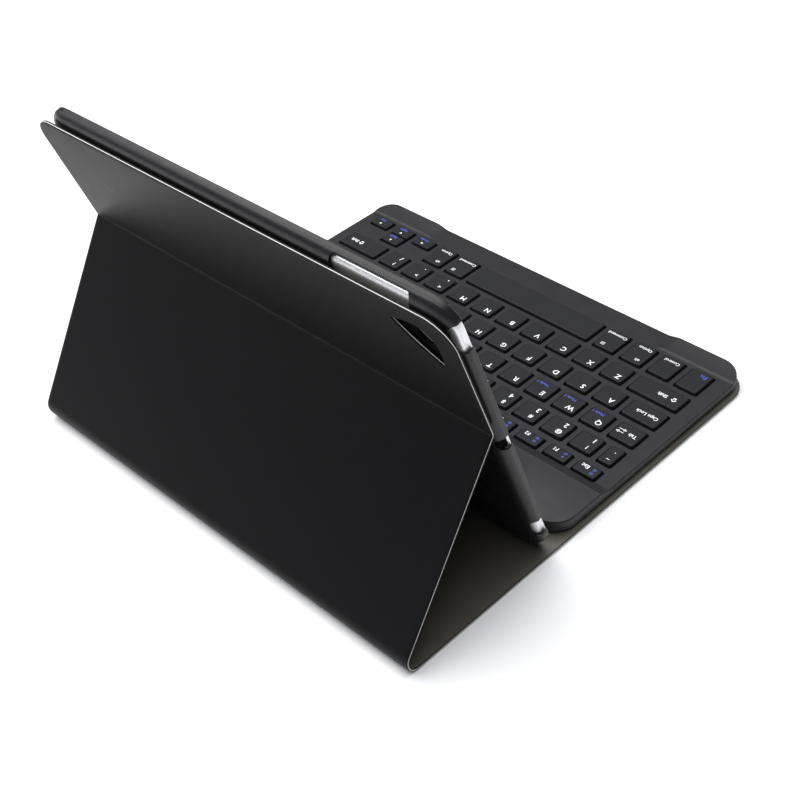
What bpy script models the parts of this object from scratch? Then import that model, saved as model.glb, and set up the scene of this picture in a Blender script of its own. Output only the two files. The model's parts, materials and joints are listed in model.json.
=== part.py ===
"""Folio keyboard case for a ten-inch class tablet, standing open on a table.

Frame: metres, +Z up, +Y away from the person typing, +X to their right. The origin is the
centre of the case's footprint, on the table. Dimensions below are in millimetres.
"""
import math

import bmesh
import bpy
from mathutils import Matrix

for old in list(bpy.data.objects):
    bpy.data.objects.remove(old, do_unlink=True)

MM = 0.001

# ---- folio cover -------------------------------------------------------------------------
FOLIO_HALF = 127.5          # half width of every folio panel
BASE_FRONT = -122.45        # front edge of the base panel
BASE_CORNER = 15.0          # its rounded front corners
SKIN = (0.0, 0.4)           # outer skin, measured in from the outside
BOARD = (0.6, 1.3)          # stiff pale board
LINING = (1.5, 1.75)        # inner lining
FOLD_R = 7.5                # outside radius of the loose fold at the back
FOLD_Y = 116.2              # centre of that fold, level with its radius above the table
CREASE_Y = 68.15            # middle crease, on the outer skin
CREASE_Z = 95.1
LEAN = 18.1                 # the upper flap leans back this far from upright, degrees
FLAP_TOP = 66.8             # height of the upper flap above the crease
FLAP_CORNER = 14.0
HOLE_A = (-95.1, 55.6)      # ends of the camera cutout, across and up the flap
HOLE_B = (-116.1, 38.1)
HOLE_BULGE = 13.4
HOLE_BELLY = 1.2

# ---- tray shell --------------------------------------------------------------------------
TRAY_X = (-126.6, 122.2)    # off centre, towards the end with the lens cutout
TRAY_TOP = 71.5
TRAY_FOOT = -99.2
TRAY_BACK = 1.95
TRAY_RIM = 8.6
TRAY_CORNER = 13.5
TRAY_WALL = 1.3
TRAY_FLOOR = 2.95
# outside and cavity, as (forward, inset): a wide rounding at the back, widest at a faint ridge
TRAY_OUTSIDE = ((TRAY_BACK, 6.5), (2.15, 5.0), (2.7, 3.3), (3.6, 1.9), (4.7, 0.85), (5.6, 0.25),
                (6.4, 0.0), (TRAY_RIM, 0.25))
TRAY_CAVITY = ((TRAY_FLOOR, 7.3), (3.2, 5.8), (3.75, 4.35), (4.55, 3.0), (5.5, 2.1), (6.4, 1.5),
               (7.2, TRAY_WALL), (TRAY_RIM + 3.0, TRAY_WALL))
SLOT_X = (-106.3, -64.2)    # volume slot along the top wall, from the back rounding to the ridge
SLOT_FRONT = 5.4
NOTCHES = ((46.8, 62.6), (-17.2, -9.8), (-84.6, -73.8))  # up the short sides, open to the front

# ---- tablet ------------------------------------------------------------------------------
SLAB_X = (-125.0, 120.6)
SLAB_TOP = 69.9
SLAB_FOOT = -97.6
SLAB_BACK = 3.25
SLAB_FACE = 9.3
SLAB_CORNER = 12.0
SLAB_OUTSIDE = ((SLAB_BACK, 5.9), (3.5, 4.4), (4.05, 2.95), (4.85, 1.65), (5.8, 0.75), (6.6, 0.25),
                (7.3, 0.0), (8.7, 0.0), (9.15, 0.25))
LENS = (-109.0, 50.2)       # rear camera, across and up the flap
LENS_RADIUS = 3.55
LENS_HOLE = 3.95            # round opening for it in the tray's floor

# ---- keyboard ----------------------------------------------------------------------------
KB_HALF = 125.4
KB_FRONT = -121.25
KB_REAR = 25.55
KB_CORNER_FRONT = 13.5
KB_CORNER_REAR = 12.5
CASE_Z = (2.05, 4.9)
DECK_Z = 7.7
DECK_SKIRT = 5.2
RAISED_Z = 9.5
PLATE = 1.0
RAMP = (-6.45, -3.45)
LUG_X = (78.0, 84.5)
LUG_Y = (-112.45, -109.0)
WALL = 1.2

# ---- keys --------------------------------------------------------------------------------
PITCH = 17.36
KEY_GAP = 3.84
KEYS_LEFT = -116.8
KEYS_RIGHT = 118.0
CAP_TOP = 9.0
CAP_SHRINK = 0.35
WELL_GROW = 0.1
TRAVEL = 1.2

# rear edge and depth of each row
ROW_F = (-10.25, 7.8)
ROW_1 = (-22.35, 12.85)
ROW_Q = (-39.25, 12.85)
ROW_A = (-56.1, 12.85)
ROW_Z = (-72.95, 12.85)
ROW_B = (-89.65, 16.7)


def material(name, rgb, roughness, metallic=0.0):
    mat = bpy.data.materials.new(name)
    mat.use_nodes = True
    bsdf = mat.node_tree.nodes["Principled BSDF"]
    bsdf.inputs["Base Color"].default_value = (*rgb, 1.0)
    bsdf.inputs["Roughness"].default_value = roughness
    bsdf.inputs["Metallic"].default_value = metallic
    return mat


MAT = {
    "cover_skin": material("cover_skin", (0.018, 0.018, 0.02), 0.55),
    "board": material("board", (0.62, 0.61, 0.58), 0.8),
    "lining": material("lining", (0.035, 0.034, 0.028), 0.45),
    "tray": material("tray", (0.022, 0.022, 0.024), 0.4),
    "deck": material("deck", (0.06, 0.06, 0.066), 0.5),
    "keycap": material("keycap", (0.045, 0.046, 0.048), 0.6),
    "silver": material("silver", (0.72, 0.72, 0.73), 0.3, 1.0),
    "screen": material("screen", (0.01, 0.01, 0.012), 0.08),
    "lens": material("lens", (0.01, 0.01, 0.015), 0.1),
    "steel": material("steel", (0.5, 0.5, 0.5), 0.4, 1.0),
    "silicone": material("silicone", (0.3, 0.3, 0.3), 0.8),
    "cell": material("cell", (0.15, 0.16, 0.18), 0.5),
    "circuit": material("circuit", (0.03, 0.12, 0.05), 0.5),
    "magnet": material("magnet", (0.45, 0.45, 0.46), 0.3, 1.0),
    "light": material("light", (0.5, 0.55, 0.6), 0.3),
}


def anchor(name, place, tilt):
    """An empty on a joint's axis, turned about X so local Y runs up a panel."""
    empty = bpy.data.objects.new(name, None)
    empty.location = (0.0, place[0] * MM, place[1] * MM)
    empty.rotation_euler = (tilt, 0.0, 0.0)
    bpy.context.collection.objects.link(empty)
    return empty


def rounded(x0, x1, y0, y1, radii, steps=4):
    """Counter-clockwise outline; radii for the corners x0y0, x1y0, x1y1 and x0y1."""
    if not isinstance(radii, (tuple, list)):
        radii = (radii,) * 4
    corners = ((x0, y0, 1, 1, 180), (x1, y0, -1, 1, 270), (x1, y1, -1, -1, 0), (x0, y1, 1, -1, 90))
    points = []
    for (cx, cy, sx, sy, start), r in zip(corners, radii):
        if r <= 0:
            points.append((cx, cy))
            continue
        for i in range(steps + 1):
            a = math.radians(start + 90.0 * i / steps)
            points.append((cx + sx * r + r * math.cos(a), cy + sy * r + r * math.sin(a)))
    return points


def loft(bm, rings):
    """Skin a stack of rings, each a list of points with the same count, and cap both ends."""
    rows = [[bm.verts.new([c * MM for c in p]) for p in ring] for ring in rings]
    count = len(rows[0])
    for low, high in zip(rows, rows[1:]):
        for i in range(count):
            j = (i + 1) % count
            bm.faces.new((low[i], low[j], high[j], high[i]))
    bm.faces.new(list(reversed(rows[0])))
    bm.faces.new(rows[-1])


def prism(bm, outline, z0, z1):
    loft(bm, [[(x, y, z0) for x, y in outline], [(x, y, z1) for x, y in outline]])


def box(bm, x, y, z):
    prism(bm, [(x[0], y[0]), (x[1], y[0]), (x[1], y[1]), (x[0], y[1])], z[0], z[1])


def finish(name, bm, mat=None, parent=None, at=(0.0, 0.0, 0.0)):
    """Turn a bmesh into an object; a named material makes it a piece, none makes it a cutter."""
    bmesh.ops.recalc_face_normals(bm, faces=bm.faces)
    bmesh.ops.translate(bm, verts=bm.verts, vec=[-c * MM for c in at])
    mesh = bpy.data.meshes.new(name)
    bm.to_mesh(mesh)
    bm.free()
    obj = bpy.data.objects.new(name, mesh)
    obj.location = [c * MM for c in at]
    bpy.context.collection.objects.link(obj)
    if parent:
        obj.parent = parent
    if mat:
        mesh.materials.append(MAT[mat])
    else:
        obj.hide_render = True
        obj.display_type = "WIRE"
    return obj


def combine(obj, cutter, operation):
    mod = obj.modifiers.new(operation.lower(), "BOOLEAN")
    mod.operation = operation
    mod.object = cutter
    mod.solver = "EXACT"
    return mod


def cut(obj, cutter):
    return combine(obj, cutter, "DIFFERENCE")


# ---- joints' axes ------------------------------------------------------------------------
reach = math.hypot(CREASE_Y - FOLD_Y, CREASE_Z - FOLD_R)
PANEL_LEN = math.sqrt(reach ** 2 - FOLD_R ** 2)
PANEL_TILT = math.atan2(CREASE_Z - FOLD_R, CREASE_Y - FOLD_Y) + math.atan2(FOLD_R, PANEL_LEN)
fold_axis = anchor("fold_axis", (FOLD_Y, FOLD_R), PANEL_TILT)
crease_axis = anchor("crease_axis", (CREASE_Y, CREASE_Z), math.radians(90.0 - LEAN))


# ---- folio cover -------------------------------------------------------------------------
def cover_layers():
    layers = (("skin", SKIN, "cover_skin"), ("board", BOARD, "board"), ("lining", LINING, "lining"))
    hole = bmesh.new()
    prism(hole, camera_outline(0.0), -2.0, 2.2)
    hole = finish("cut_camera_flap", hole, parent=crease_axis)
    for label, (t0, t1), mat in layers:
        bm = bmesh.new()
        radii = (BASE_CORNER, BASE_CORNER, 0, 0)
        prism(bm, rounded(-FOLIO_HALF, FOLIO_HALF, BASE_FRONT, FOLD_Y - 0.2, radii, 5), t0, t1)
        finish("base_" + label, bm, mat)
        bm = bmesh.new()
        outline = rounded(-FOLIO_HALF, FOLIO_HALF, 0.2, PANEL_LEN - 0.2, 0)
        prism(bm, outline, t0 - FOLD_R, t1 - FOLD_R)
        finish("lower_back_" + label, bm, mat, fold_axis)
        bm = bmesh.new()
        radii = (0, 0, FLAP_CORNER, FLAP_CORNER)
        prism(bm, rounded(-FOLIO_HALF, FOLIO_HALF, 0.2, FLAP_TOP, radii, 5), t0, t1)
        cut(finish("upper_flap_" + label, bm, mat, crease_axis), hole)


def camera_outline(grow):
    """Leaf outline of the camera cutout: a full arc above the chord and a slight one below."""
    ax, ay = HOLE_A
    bx, by = HOLE_B
    chord = math.hypot(bx - ax, by - ay)
    ux, uy = (bx - ax) / chord, (by - ay) / chord
    points = []
    count = 8
    for i in range(count):
        t = i / count
        lift = math.sin(math.pi * t) ** 0.8 * (HOLE_BULGE + grow)
        d = chord * t - grow * math.cos(math.pi * t)
        points.append((ax + ux * d + uy * lift, ay + uy * d - ux * lift))
    for i in range(count):
        t = 1.0 - i / count
        drop = math.sin(math.pi * t) * (HOLE_BELLY + grow)
        d = chord * t - grow * math.cos(math.pi * t)
        points.append((ax + ux * d - uy * drop, ay + uy * d + ux * drop))
    return points


def fold_strip():
    """The loose fold at the back, from flat on the table up to the lower back panel."""
    bm = bmesh.new()
    start = math.radians(-90.0 + 2.5)
    stop = PANEL_TILT - math.pi / 2 - math.radians(2.5)
    steps = 10
    inner = FOLD_R - LINING[1]
    rings = []
    for x in (-FOLIO_HALF, FOLIO_HALF):
        ring = []
        for i in range(steps + 1):
            a = start + (stop - start) * i / steps
            ring.append((x, FOLD_Y + FOLD_R * math.cos(a), FOLD_R + FOLD_R * math.sin(a)))
        for i in range(steps, -1, -1):
            a = start + (stop - start) * i / steps
            ring.append((x, FOLD_Y + inner * math.cos(a), FOLD_R + inner * math.sin(a)))
        rings.append(ring)
    loft(bm, rings)
    finish("fold_strip", bm, "cover_skin")


# ---- tray --------------------------------------------------------------------------------
def shell_ring(span, foot, top, corner, inset, n, steps=5):
    outline = rounded(span[0] + inset, span[1] - inset, foot + inset, top - inset, corner - inset, steps)
    return [(x, y, n) for x, y in outline]


def tray():
    bm = bmesh.new()
    loft(bm, [shell_ring(TRAY_X, TRAY_FOOT, TRAY_TOP, TRAY_CORNER, i, n) for n, i in TRAY_OUTSIDE])
    shell = finish("tray_shell", bm, "tray", crease_axis)
    bm = bmesh.new()
    loft(bm, [shell_ring(TRAY_X, TRAY_FOOT, TRAY_TOP, TRAY_CORNER, i, n) for n, i in TRAY_CAVITY])
    cut(shell, finish("cut_tray_cavity", bm, parent=crease_axis))
    bm = bmesh.new()
    prism(bm, ring_points(*LENS, LENS_HOLE, 20), 1.0, 4.0)
    cut(shell, finish("cut_camera_tray", bm, parent=crease_axis))
    # volume slot, from the middle of the top wall round into the back
    bm = bmesh.new()
    slot = rounded(*SLOT_X, -1.0, SLOT_FRONT, (0, 0, 1.9, 1.9), 4)
    loft(bm, [[(x, y, n) for x, n in slot] for y in (TRAY_TOP + 2.0, TRAY_TOP - 5.6)])
    cut(shell, finish("cut_volume_slot", bm, parent=crease_axis))
    # notches open to the front: speakers near the ends of both short sides, port and microphone between
    for label, side, edge in (("left", -1, TRAY_X[0]), ("right", 1, TRAY_X[1])):
        for place, (low, high) in zip(("top", "middle", "foot"), NOTCHES):
            bm = bmesh.new()
            slot = rounded(low, high, 2.6, TRAY_RIM + 2.0, (2.8, 1.9, 0, 0), 4)
            loft(bm, [[(x, y, n) for y, n in slot] for x in (edge + side * 2.0, edge - side * 4.6)])
            cut(shell, finish("cut_%s_%s" % (label, place), bm, parent=crease_axis))


# ---- tablet ------------------------------------------------------------------------------
def tablet():
    foot = (0.0, SLAB_FOOT, SLAB_BACK)
    bm = bmesh.new()
    loft(bm, [shell_ring(SLAB_X, SLAB_FOOT, SLAB_TOP, SLAB_CORNER, i, n) for n, i in SLAB_OUTSIDE])
    housing = finish("tablet_housing", bm, "silver", crease_axis, foot)
    bm = bmesh.new()
    cavity = ((SLAB_BACK + 1.1, 6.4), (5.3, 3.2), (6.6, 1.7), (7.3, 1.3), (SLAB_FACE + 2.0, 1.3))
    loft(bm, [shell_ring(SLAB_X, SLAB_FOOT, SLAB_TOP, SLAB_CORNER, i, n) for n, i in cavity])
    cut(housing, finish("cut_tablet_inside", bm, parent=crease_axis))
    bm = bmesh.new()
    outline = rounded(SLAB_X[0] + 1.6, SLAB_X[1] - 1.6, SLAB_FOOT + 1.6, SLAB_TOP - 1.6,
                      SLAB_CORNER - 1.6, 4)
    prism(bm, outline, 7.6, SLAB_FACE)
    finish("tablet_screen", bm, "screen", crease_axis, foot)
    bm = bmesh.new()
    prism(bm, rounded(-80.0, 60.0, -80.0, 50.0, 3.0, 2), SLAB_BACK + 1.5, 7.2)
    finish("tablet_cells", bm, "cell", crease_axis, foot)
    # rear camera: its ring stands a little proud of the tablet's back
    bm = bmesh.new()
    prism(bm, ring_points(*LENS, LENS_RADIUS + 0.35, 20), SLAB_BACK - 0.5, SLAB_BACK + 2.5)
    cut(housing, finish("cut_tablet_lens", bm, parent=crease_axis))
    bm = bmesh.new()
    prism(bm, ring_points(*LENS, LENS_RADIUS, 20), SLAB_BACK - 0.9, SLAB_BACK + 2.0)
    finish("tablet_lens", bm, "lens", crease_axis, foot)
    # volume buttons in the top edge, power button in the short side
    for label, x0, x1 in (("up", -83.0, -73.0), ("down", -102.0, -92.0)):
        bm = bmesh.new()
        loft(bm, [[(x, y, n) for x, n in rounded(x0 - 0.3, x1 + 0.3, 4.1, 6.1, 0.95, 3)]
                  for y in (SLAB_TOP + 1.0, SLAB_TOP - 4.4)])
        bm2 = bmesh.new()
        loft(bm2, [[(x, y, n) for x, n in rounded(x0, x1, 4.4, 5.8, 0.65, 3)]
                   for y in (SLAB_TOP - 0.85, SLAB_TOP - 3.6)])
        cut(housing, finish("cut_volume_" + label, bm, parent=crease_axis))
        finish("tablet_volume_" + label, bm2, "silver", crease_axis,
               ((x0 + x1) / 2, SLAB_TOP, 5.1))
    bm = bmesh.new()
    loft(bm, [[(x, y, n) for y, n in rounded(49.7, 58.3, 5.5, 7.5, 0.95, 3)]
              for x in (SLAB_X[0] - 1.0, SLAB_X[0] + 3.0)])
    cut(housing, finish("cut_power", bm, parent=crease_axis))
    bm = bmesh.new()
    loft(bm, [[(x, y, n) for y, n in rounded(50.0, 58.0, 5.8, 7.2, 0.65, 3)]
              for x in (SLAB_X[0] - 0.15, SLAB_X[0] + 2.2)])
    finish("tablet_power_button", bm, "silver", crease_axis, (SLAB_X[0], 54.0, 6.5))


def ring_points(cx, cy, r, count):
    return [(cx + r * math.cos(2 * math.pi * i / count), cy + r * math.sin(2 * math.pi * i / count))
            for i in range(count)]


# ---- keyboard ----------------------------------------------------------------------------
def kb_outline(inset, steps=5):
    radii = (KB_CORNER_FRONT - inset, KB_CORNER_FRONT - inset,
             KB_CORNER_REAR - inset, KB_CORNER_REAR - inset)
    return rounded(-KB_HALF + inset, KB_HALF - inset, KB_FRONT + inset, KB_REAR - inset, radii, steps)


def side_cutters():
    """Openings in the right-hand wall for the charging socket and the power switch."""
    port = bmesh.new()
    box(port, (KB_HALF - 3.0, KB_HALF + 2.0), (3.0, 11.8), (4.2, 6.9))
    switch = bmesh.new()
    box(switch, (KB_HALF - 3.0, KB_HALF + 2.0), (-10.8, -4.2), (4.4, 6.5))
    return finish("cut_port", port), finish("cut_switch", switch)


def keyboard():
    port, switch = side_cutters()
    bm = bmesh.new()
    rings = [[(x, y, z) for x, y in kb_outline(i)]
             for z, i in ((CASE_Z[0], 1.2), (CASE_Z[0] + 0.9, 0.35), (CASE_Z[1], 0.1))]
    loft(bm, rings)
    case = finish("kb_bottom_case", bm, "deck")
    bm = bmesh.new()
    prism(bm, kb_outline(WALL + 0.2), CASE_Z[0] + 0.7, CASE_Z[1] + 3.0)
    cut(case, finish("cut_case_inside", bm))
    cut(case, port)
    cut(case, switch)

    # deck: a stepped section across the width, raised lugs in front, trimmed to the outline
    section = ((-150.0, DECK_SKIRT), (60.0, DECK_SKIRT), (60.0, RAISED_Z), (RAMP[1], RAISED_Z),
               (RAMP[0], DECK_Z), (-150.0, DECK_Z))
    bm = bmesh.new()
    loft(bm, [[(x, y, z) for y, z in section] for x in (-140.0, 140.0)])
    deck = finish("kb_deck", bm, "deck")
    bm = bmesh.new()
    for side in (-1, 1):
        low = [(side * LUG_X[0], -150.0), (side * 145.0, -150.0),
               (side * 145.0, LUG_Y[1]), (side * LUG_X[0], LUG_Y[1])]
        high = [(side * LUG_X[1], -150.0), (side * 145.0, -150.0),
                (side * 145.0, LUG_Y[0]), (side * LUG_X[1], LUG_Y[0])]
        loft(bm, [[(x, y, 7.2) for x, y in low], [(x, y, DECK_Z) for x, y in low],
                  [(x, y, RAISED_Z) for x, y in high]])
    combine(deck, finish("add_lugs", bm), "UNION")
    bm = bmesh.new()
    prism(bm, kb_outline(0.0), DECK_SKIRT - 5.0, RAISED_Z + 5.0)
    combine(deck, finish("trim_deck", bm), "INTERSECT")
    bm = bmesh.new()
    prism(bm, kb_outline(WALL + 0.1), DECK_SKIRT - 3.0, DECK_Z - PLATE)
    cut(deck, finish("cut_deck_inside", bm))
    bm = bmesh.new()
    radii = (2.0, 2.0, KB_CORNER_REAR - 2.0, KB_CORNER_REAR - 2.0)
    prism(bm, rounded(-KB_HALF + 2.0, KB_HALF - 2.0, RAMP[1] + 2.0, KB_REAR - 2.0, radii, 3),
          DECK_Z - PLATE - 1.0, RAISED_Z - PLATE)
    for side in (-1, 1):
        box(bm, sorted((side * 87.0, side * 118.0)), (-118.5, -112.9), (5.9, RAISED_Z - PLATE))
    cut(deck, finish("cut_deck_pockets", bm))
    bm = bmesh.new()
    for name, x0, x1, y0, y1 in all_keys():
        box(bm, (x0 - WELL_GROW, x1 + WELL_GROW), (y0 - WELL_GROW, y1 + WELL_GROW), (6.0, 9.0))
    cut(deck, finish("cut_wells", bm))
    bm = bmesh.new()
    for x in LIGHTS:
        prism(bm, ring_points(x, 2.2, 1.05, 8), 7.9, 11.0)
    cut(deck, finish("cut_lights", bm))
    cut(deck, port)
    cut(deck, switch)

    # inside: steel plate, silicone dome sheet, cells, circuit board, magnets
    bm = bmesh.new()
    prism(bm, rounded(-122.6, 122.6, -118.6, -4.8, 11.5, 3), 3.05, 3.55)
    finish("kb_support_plate", bm, "steel")
    bm = bmesh.new()
    prism(bm, rounded(-121.6, 121.6, -110.5, -5.8, 3.0, 2), 3.85, 4.25)
    finish("kb_dome_sheet", bm, "silicone")
    bm = bmesh.new()
    prism(bm, rounded(-62.0, 62.0, 0.6, 22.4, 1.5, 2), 3.05, 8.1)
    finish("kb_battery", bm, "cell")
    bm = bmesh.new()
    prism(bm, rounded(66.0, 121.0, 0.8, 15.0, 1.0, 1), 3.1, 4.1)
    finish("kb_circuit_board", bm, "circuit")
    for label, side in (("left", -1), ("right", 1)):
        bm = bmesh.new()
        box(bm, sorted((side * 88.0, side * 117.0)), (-118.2, -113.2), (6.3, 8.1))
        finish("kb_magnet_" + label, bm, "magnet")
    for label, x in zip(("power", "caps", "pairing"), LIGHTS):
        bm = bmesh.new()
        prism(bm, ring_points(x, 2.2, 0.72, 8), 6.4, 9.4)
        finish("kb_light_" + label, bm, "light")
    # charging socket, open towards the right
    bm = bmesh.new()
    box(bm, (118.6, KB_HALF - 0.3), (3.4, 11.4), (4.45, 6.6))
    socket = finish("kb_charge_socket", bm, "steel")
    bm = bmesh.new()
    box(bm, (119.6, KB_HALF + 2.0), (4.0, 10.8), (5.0, 6.05))
    cut(socket, finish("cut_socket", bm))
    # power switch: a slider behind the wall with a finger nub through it
    bm = bmesh.new()
    box(bm, (120.6, 122.0), (-12.0, -6.0), (4.6, 6.4))
    slider = finish("kb_power_switch", bm, "deck", at=(124.0, -8.9, 5.45))
    bm = bmesh.new()
    box(bm, (121.2, KB_HALF + 0.9), (-10.4, -7.4), (4.75, 6.15))
    combine(slider, finish("add_nub", bm), "UNION")


LIGHTS = (92.0, 99.0, 106.0)


# ---- keys --------------------------------------------------------------------------------
def run(names, left, row, pitch=PITCH, width=PITCH - KEY_GAP):
    rear, depth = row
    return [(n, left + i * pitch, left + i * pitch + width, rear - depth, rear)
            for i, n in enumerate(names)]


def key(name, x0, x1, row):
    return (name, x0, x1, row[0] - row[1], row[0])


LETTERS_1 = -104.82
LETTERS_Q = -97.9
LETTERS_A = -92.4
LETTERS_Z = -83.57

ROWS = {
    "function": run(["f%d" % n for n in range(1, 13)], KEYS_LEFT + PITCH, ROW_F),
    "number": run(list("1234567890") + ["minus", "equal"], LETTERS_1, ROW_1),
    "qwerty": run(list("qwertyuiop"), LETTERS_Q, ROW_Q),
    "asdf": run(list("asdfghjkl") + ["semicolon", "quote"], LETTERS_A, ROW_A),
    "zxcv": run(list("zxcvbnm") + ["comma", "period", "slash"], LETTERS_Z, ROW_Z),
}
Q_END = LETTERS_Q + 10 * PITCH
NARROW = (KEYS_RIGHT - Q_END - 2 * KEY_GAP) / 3
ROWS["qwerty"] += run(["bracket_open", "bracket_close"], Q_END, ROW_Q, NARROW + KEY_GAP, NARROW)

MOD_PITCH = 16.93
MOD_LEFT = -116.6
MOD_WIDTH = 13.1
RIGHT_PITCH = 16.65
RIGHT_LEFT = 38.6
RIGHT_WIDTH = 12.9
HALF_DEPTH = 8.1


def arrow(name, column, rear):
    x0 = RIGHT_LEFT + column * RIGHT_PITCH
    return (name, x0, x0 + RIGHT_WIDTH, rear - HALF_DEPTH, rear)


FRONT_HALF = ROW_B[0] - ROW_B[1] + HALF_DEPTH
SINGLES = [
    key("esc", KEYS_LEFT, KEYS_LEFT + PITCH - KEY_GAP, ROW_F),
    key("lock", KEYS_LEFT + 13 * PITCH, KEYS_RIGHT, ROW_F),
    key("backtick", KEYS_LEFT, LETTERS_1 - KEY_GAP, ROW_1),
    key("delete", LETTERS_1 + 12 * PITCH, KEYS_RIGHT, ROW_1),
    key("tab", KEYS_LEFT, LETTERS_Q - KEY_GAP, ROW_Q),
    key("backslash", KEYS_RIGHT - NARROW, KEYS_RIGHT, ROW_Q),
    key("caps_lock", KEYS_LEFT, LETTERS_A - KEY_GAP, ROW_A),
    key("return", LETTERS_A + 11 * PITCH, KEYS_RIGHT, ROW_A),
    key("shift_left", KEYS_LEFT, LETTERS_Z - KEY_GAP, ROW_Z),
    key("shift_right", LETTERS_Z + 10 * PITCH, KEYS_RIGHT, ROW_Z),
] + run(["fn", "control", "option_left", "command_left"], MOD_LEFT, ROW_B, MOD_PITCH, MOD_WIDTH) + [
    key("space", -48.8, 34.8, ROW_B),
] + run(["command_right", "option_right"], RIGHT_LEFT, ROW_B, RIGHT_PITCH, RIGHT_WIDTH) + [
    arrow("left", 2, FRONT_HALF),
    arrow("up", 3, ROW_B[0]),
    arrow("down", 3, FRONT_HALF),
    arrow("right", 4, FRONT_HALF),
]


def all_keys():
    found = list(SINGLES)
    for row in ROWS.values():
        found += row
    return found


def octagon(x0, x1, y0, y1, c):
    return [(x0 + c, y0), (x1 - c, y0), (x1, y0 + c), (x1, y1 - c),
            (x1 - c, y1), (x0 + c, y1), (x0, y1 - c), (x0, y0 + c)]


def cap_rings(x0, x1, y0, y1, low):
    s = CAP_SHRINK
    rings = []
    for z, inset, corner in ((low, s, 0.9), (CAP_TOP - 0.35, s + 0.25, 1.1), (CAP_TOP, s + 0.6, 1.1)):
        outline = octagon(x0 + inset, x1 - inset, y0 + inset, y1 - inset, corner)
        rings.append([(x, y, z) for x, y in outline])
    return rings


def keys():
    for name, x0, x1, y0, y1 in SINGLES:
        cx, cy = (x0 + x1) / 2, (y0 + y1) / 2
        half = min(2.6, (y1 - y0) / 2 - 1.6, (x1 - x0) / 2 - 1.6)
        stem = octagon(cx - half, cx + half, cy - half, cy + half, 0.8)
        bm = bmesh.new()
        rings = [[(x, y, 5.6) for x, y in stem], [(x, y, 6.35) for x, y in stem]]
        loft(bm, rings + cap_rings(x0, x1, y0, y1, 6.35))
        finish("key_" + name, bm, "keycap", at=(cx, cy, CAP_TOP))
    for label, row in ROWS.items():
        x0 = min(k[1] for k in row)
        x1 = max(k[2] for k in row)
        y0, y1 = row[0][3], row[0][4]
        cx, cy = (x0 + x1) / 2, (y0 + y1) / 2
        bm = bmesh.new()
        box(bm, (x0 + 3.0, x1 - 3.0), (cy - 1.5, cy + 1.5), (5.85, 6.35))
        web = finish("keys_" + label + "_row", bm, "keycap", at=(cx, cy, CAP_TOP))
        bm = bmesh.new()
        for name, kx0, kx1, ky0, ky1 in row:
            loft(bm, cap_rings(kx0, kx1, ky0, ky1, 6.1))
        combine(web, finish("add_caps_" + label, bm), "UNION")


cover_layers()
fold_strip()
tray()
tablet()
keyboard()
keys()
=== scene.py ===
"""Looks for the folio keyboard case: detailed pieces, materials, floor, light and camera.

Shapes are worked out in millimetres in the frame's axes and scaled to metres when a piece is made.
"""
import json
import math

import bmesh
import bpy
from mathutils import Matrix, Vector

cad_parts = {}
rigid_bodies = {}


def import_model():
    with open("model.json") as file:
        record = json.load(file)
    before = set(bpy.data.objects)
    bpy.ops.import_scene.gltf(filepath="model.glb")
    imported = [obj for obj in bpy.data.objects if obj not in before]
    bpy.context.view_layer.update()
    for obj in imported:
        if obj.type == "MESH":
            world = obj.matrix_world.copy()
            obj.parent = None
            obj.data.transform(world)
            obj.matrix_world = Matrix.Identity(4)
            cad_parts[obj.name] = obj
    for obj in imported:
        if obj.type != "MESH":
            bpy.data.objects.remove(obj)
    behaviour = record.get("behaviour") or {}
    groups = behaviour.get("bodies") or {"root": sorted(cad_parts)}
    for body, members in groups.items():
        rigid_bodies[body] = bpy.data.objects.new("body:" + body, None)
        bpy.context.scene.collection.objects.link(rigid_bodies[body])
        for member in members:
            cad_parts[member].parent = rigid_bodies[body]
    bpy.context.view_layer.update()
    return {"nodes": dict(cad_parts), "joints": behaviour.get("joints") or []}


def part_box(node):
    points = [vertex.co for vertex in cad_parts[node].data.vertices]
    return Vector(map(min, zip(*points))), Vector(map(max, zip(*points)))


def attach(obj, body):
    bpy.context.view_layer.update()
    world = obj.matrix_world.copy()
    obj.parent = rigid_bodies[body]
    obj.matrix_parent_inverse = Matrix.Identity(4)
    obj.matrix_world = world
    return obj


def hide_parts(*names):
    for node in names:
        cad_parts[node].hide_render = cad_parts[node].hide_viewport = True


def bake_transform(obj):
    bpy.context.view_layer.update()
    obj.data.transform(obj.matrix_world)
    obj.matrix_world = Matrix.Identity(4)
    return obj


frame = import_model()

MM = 0.001
JOINTS = {j["name"]: j for j in frame["joints"]}


def box_mm(node):
    low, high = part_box(node)
    return [c / MM for c in low], [c / MM for c in high]


# ---- sizes, from the frame ---------------------------------------------------------------
FOLD_Y, FOLD_R = [c / MM for c in JOINTS["stand_fold"]["pos_m"][1:]]
CREASE_Y, CREASE_Z = [c / MM for c in JOINTS["mid_crease"]["pos_m"][1:]]
(X0, FRONT, _), (X1, _, _) = box_mm("base_skin")
LEAN = math.radians(18.1)
FLAP_TOP = 66.8
BASE_CORNER = 15.0
FLAP_CORNER = 14.0
CREASE_R = 1.0              # bend radius of the crease, on the outside of the skin
HOLE_A = (-95.1, 55.6)      # the camera cutout's two tips, across and up the flap
HOLE_B = (-116.1, 38.1)
HOLE_BULGE = 13.4
HOLE_BELLY = 1.2

TRAY = dict(x=(-126.6, 122.2), foot=-99.2, top=71.5, corner=13.5)
TRAY_RIM = 8.6
SLOT_X = (-106.3, -64.2)
SLOT_FRONT = 5.4
NOTCHES = ((46.8, 62.6), (-17.2, -9.8), (-84.6, -73.8))
SLAB = dict(x=(-125.0, 120.6), foot=-97.6, top=69.1, corner=12.0)
LENS = (-109.0, 50.2)
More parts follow.
